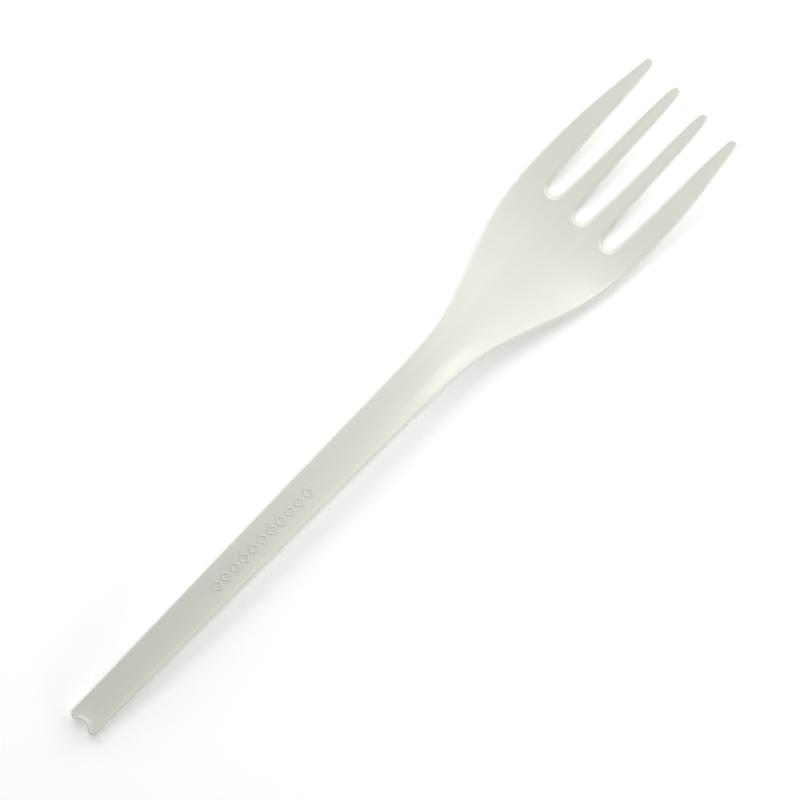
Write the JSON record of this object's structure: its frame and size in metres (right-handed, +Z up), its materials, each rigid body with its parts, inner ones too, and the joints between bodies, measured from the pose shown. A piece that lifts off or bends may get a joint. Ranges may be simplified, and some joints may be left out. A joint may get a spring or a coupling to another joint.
{
  "type": "plastic fork",
  "caption": "Disposable table fork moulded in one piece: long arched handle, notched tail, dished bowl and slotted tines.",
  "frame": {"origin": "centre of the bounding box's bottom: on the table that the fork lies on, under its middle", "axes": "+X from the tail to the tips of the tines, +Z up out of the face that food lies on, +Y across"},
  "size_m": [0.165, 0.028, 0.0121],
  "materials": {
    "fork_plastic": "satin moulded bioplastic, pale greenish white"
  },
  "bodies": {
    "root": {"fork": "fork_plastic"}
  },
  "joints": []
}
